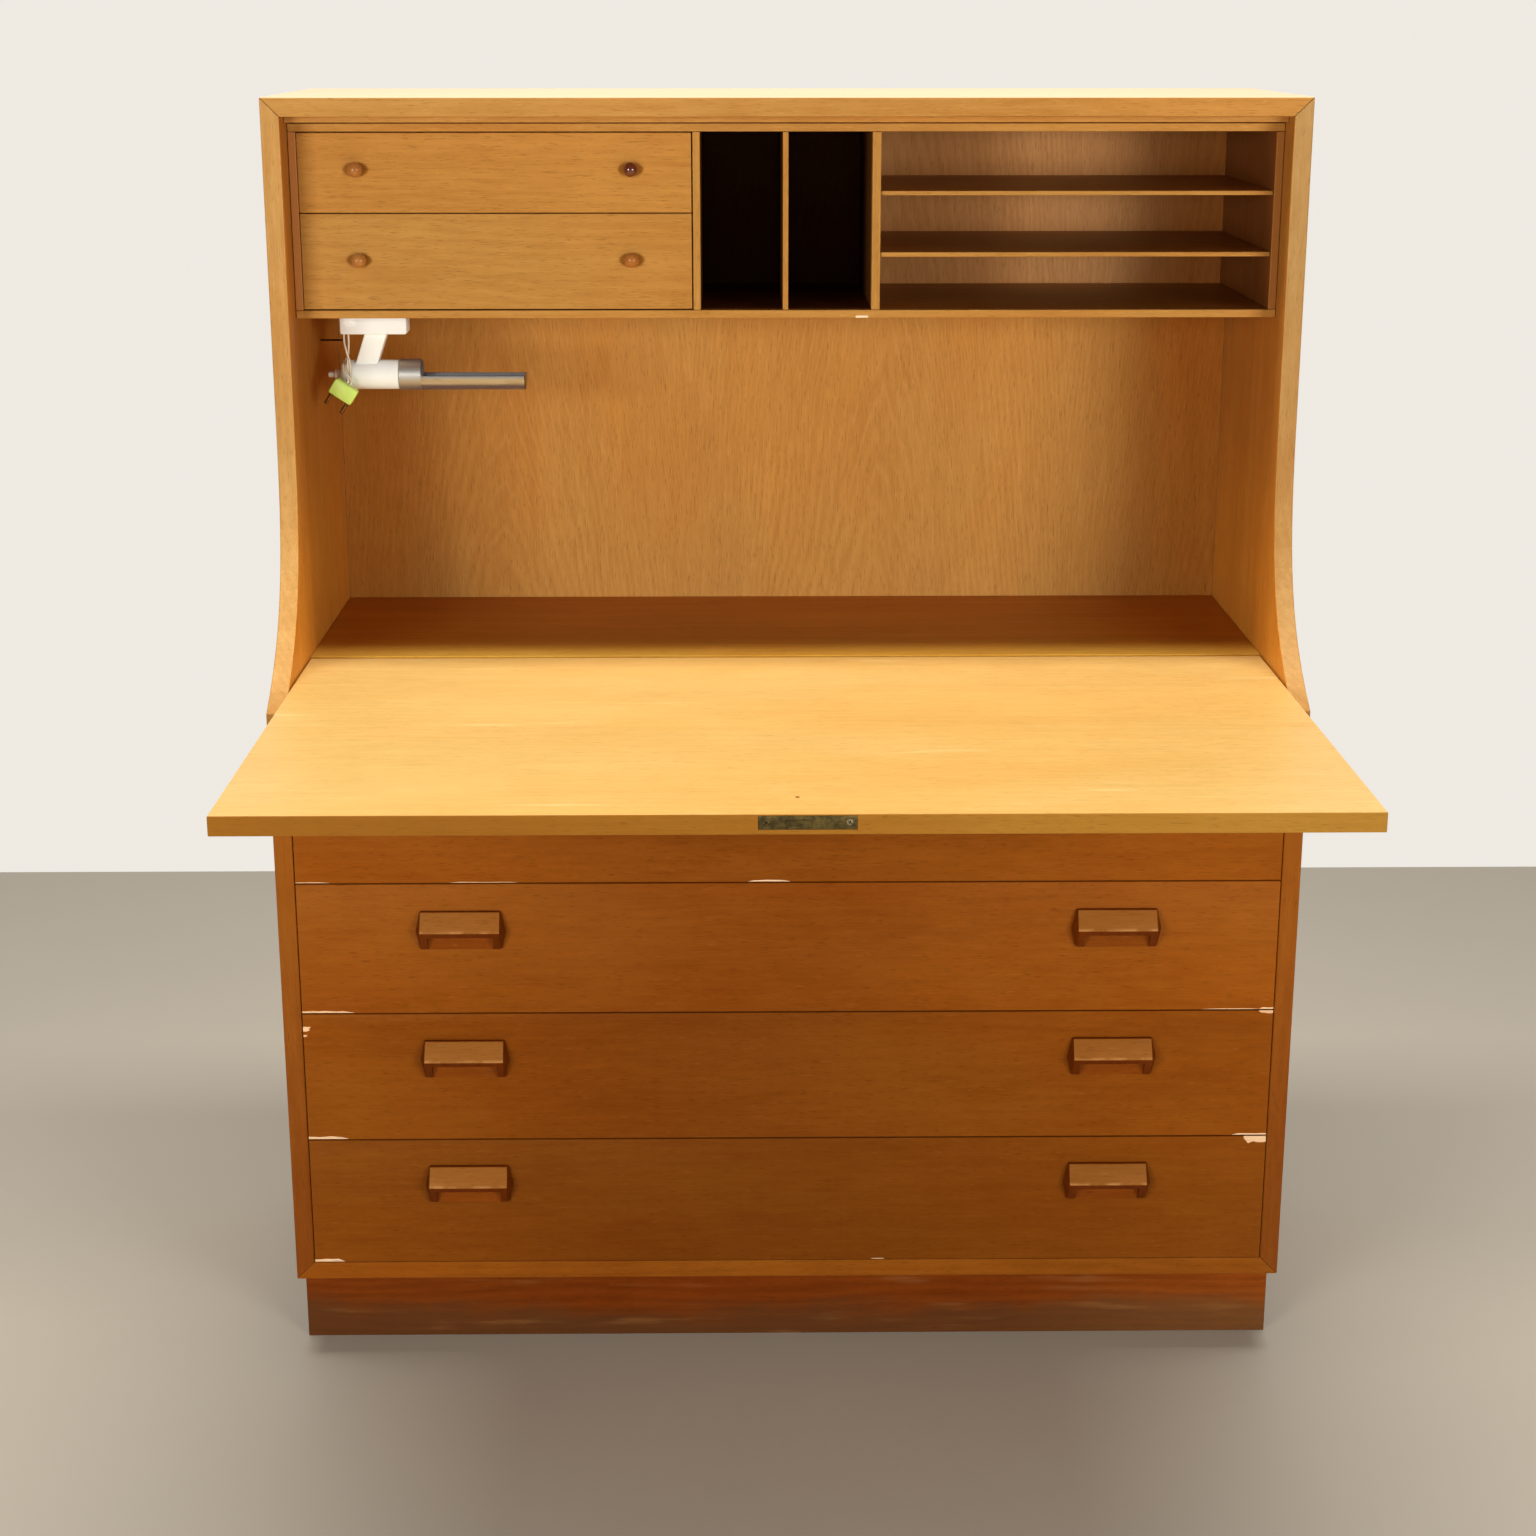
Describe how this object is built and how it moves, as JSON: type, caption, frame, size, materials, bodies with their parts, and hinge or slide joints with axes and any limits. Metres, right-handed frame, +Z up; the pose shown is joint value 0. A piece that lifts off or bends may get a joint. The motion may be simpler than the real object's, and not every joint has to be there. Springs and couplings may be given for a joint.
{
  "type": "fall-front desk",
  "caption": "Wooden bureau with a drop-down writing flap, pigeonholes, small drawers, a lamp, and wide drawers with finger pulls below.",
  "frame": {"origin": "on the floor under the middle of the desk's box, open flap included", "axes": "+Z up, +Y to the back of the desk, +X to the right as seen from the front"},
  "size_m": [1.05, 0.8782, 1.309],
  "materials": {
    "teak_case": "satin lacquer",
    "teak_dark": "satin lacquer",
    "teak_flap": "worn satin lacquer",
    "teak_plinth": "satin lacquer",
    "small_drawer_teak": "satin lacquer",
    "wide_drawer_teak": "satin lacquer, chipped veneer edges",
    "knob_wood": "lacquered",
    "pull_wood": "polished",
    "drawer_pine": "bare",
    "old_steel": "tarnished",
    "lamp_enamel": "gloss enamel",
    "chrome": "polished",
    "flex_plastic": "aged",
    "plug_plastic": "smooth",
    "pin_brass": "tarnished"
  },
  "bodies": {
    "case": {"side_panel_left": "teak_case", "side_panel_right": "teak_case", "top_panel": "teak_case", "bottom_panel": "teak_dark", "back_panel": "teak_dark", "top_stop_strip": "teak_case", "desk_panel": "teak_dark", "lower_top_panel": "teak_case", "front_rail": "teak_dark", "plinth_front": "teak_plinth", "plinth_left": "teak_plinth", "plinth_right": "teak_plinth", "hinge_pin_left": "old_steel", "hinge_pin_right": "old_steel", "unit_top": "teak_case", "unit_bottom": "teak_case", "unit_side_left": "teak_case", "unit_side_right": "teak_case", "divider_left": "teak_case", "divider_middle": "teak_case", "divider_right": "teak_case", "shelf_upper": "teak_case", "shelf_lower": "teak_case", "lamp_bracket": "lamp_enamel", "lamp_housing": "lamp_enamel", "flex_a": "flex_plastic", "flex_b": "flex_plastic", "plug_body": "plug_plastic", "plug_pin_left": "pin_brass", "plug_pin_right": "pin_brass", "wall_hook": "old_steel"},
    "flap": {"flap": "teak_flap", "lock_plate": "old_steel"},
    "lock_bolt": {"lock_bolt": "old_steel"},
    "small_drawer_upper": {"small_front_upper": "small_drawer_teak", "small_box_upper": "drawer_pine", "knob_upper_left": "knob_wood", "knob_upper_right": "knob_wood"},
    "small_drawer_lower": {"small_front_lower": "small_drawer_teak", "small_box_lower": "drawer_pine", "knob_lower_left": "knob_wood", "knob_lower_right": "knob_wood"},
    "drawer_1": {"drawer_front_1": "wide_drawer_teak", "drawer_box_1": "drawer_pine", "pull_1_left": "pull_wood", "pull_1_right": "pull_wood"},
    "drawer_2": {"drawer_front_2": "wide_drawer_teak", "drawer_box_2": "drawer_pine", "pull_2_left": "pull_wood", "pull_2_right": "pull_wood"},
    "drawer_3": {"drawer_front_3": "wide_drawer_teak", "drawer_box_3": "drawer_pine", "pull_3_left": "pull_wood", "pull_3_right": "pull_wood"},
    "drawer_4": {"drawer_front_4": "wide_drawer_teak", "drawer_box_4": "drawer_pine", "pull_4_left": "pull_wood", "pull_4_right": "pull_wood"},
    "reflector": {"lamp_reflector": "chrome"},
    "switch_button": {"switch_button": "lamp_enamel"}
  },
  "joints": [
    {"name": "flap_hinge", "type": "hinge", "parent": "case", "child": "flap", "pos_m": [0, 0.1261, 0.7233], "axis": [1, 0, 0], "range_deg": [-90, 0]},
    {"name": "lock_bolt_slide", "type": "slide", "parent": "flap", "child": "lock_bolt", "axis": [0, -1, 0], "range_m": [0, 0.006]},
    {"name": "small_drawer_upper_slide", "type": "slide", "parent": "case", "child": "small_drawer_upper", "axis": [0, -1, 0], "range_m": [0, 0.2]},
    {"name": "small_drawer_lower_slide", "type": "slide", "parent": "case", "child": "small_drawer_lower", "axis": [0, -1, 0], "range_m": [0, 0.2]},
    {"name": "drawer_1_slide", "type": "slide", "parent": "case", "child": "drawer_1", "axis": [0, -1, 0], "range_m": [0, 0.36]},
    {"name": "drawer_2_slide", "type": "slide", "parent": "case", "child": "drawer_2", "axis": [0, -1, 0], "range_m": [0, 0.36]},
    {"name": "drawer_3_slide", "type": "slide", "parent": "case", "child": "drawer_3", "axis": [0, -1, 0], "range_m": [0, 0.36]},
    {"name": "drawer_4_slide", "type": "slide", "parent": "case", "child": "drawer_4", "axis": [0, -1, 0], "range_m": [0, 0.36]},
    {"name": "reflector_turn", "type": "hinge", "parent": "case", "child": "reflector", "pos_m": [-0.344, 0.2281, 1.0193], "axis": [1, 0, 0], "range_deg": [-150, 150]},
    {"name": "switch_push", "type": "slide", "parent": "case", "child": "switch_button", "axis": [1, 0, 0], "range_m": [0, 0.003], "stiffness_N_per_m": 300, "springref_m": -0.001}
  ]
}
